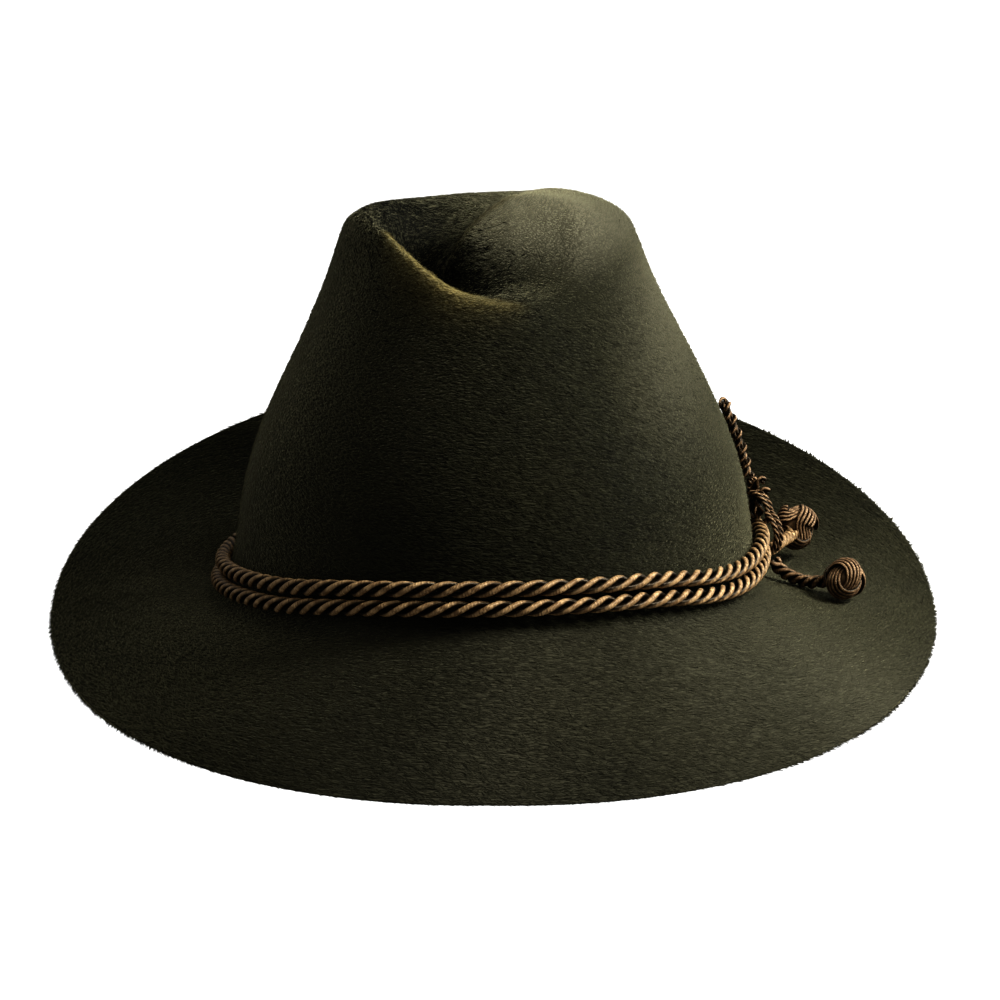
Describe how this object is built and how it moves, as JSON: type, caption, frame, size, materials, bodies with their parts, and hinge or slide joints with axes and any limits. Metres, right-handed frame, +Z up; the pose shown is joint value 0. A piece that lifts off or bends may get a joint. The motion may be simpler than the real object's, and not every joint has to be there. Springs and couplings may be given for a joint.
{
  "type": "hunting hat",
  "caption": "Wide-brimmed felt hunting hat: tapering crown with an off-centre dent, brim dipped in front and raised behind, twisted cord band with a loop and ball-knotted tails.",
  "frame": {"origin": "middle of the footprint of the felt, on the surface that the hat rests on", "axes": "+Z up, -Y towards the front of the hat, +X towards the wearer's left, where the knots are; the head band leans back by 11.3 degrees as the hat rests"},
  "size_m": [0.2812, 0.2903, 0.1443],
  "materials": {
    "felt": "long-napped velour felt, matt",
    "cord": "twisted silk cord, soft sheen"
  },
  "bodies": {
    "root": {"felt_body": "felt", "cord_band_upper": "cord", "cord_band_lower": "cord", "cord_loop": "cord", "cord_plait": "cord", "knot_bight_upper": "cord", "knot_bight_lower": "cord", "tail_upper": "cord", "tail_lower": "cord", "end_knot_upper": "cord", "end_knot_lower": "cord"}
  },
  "joints": []
}
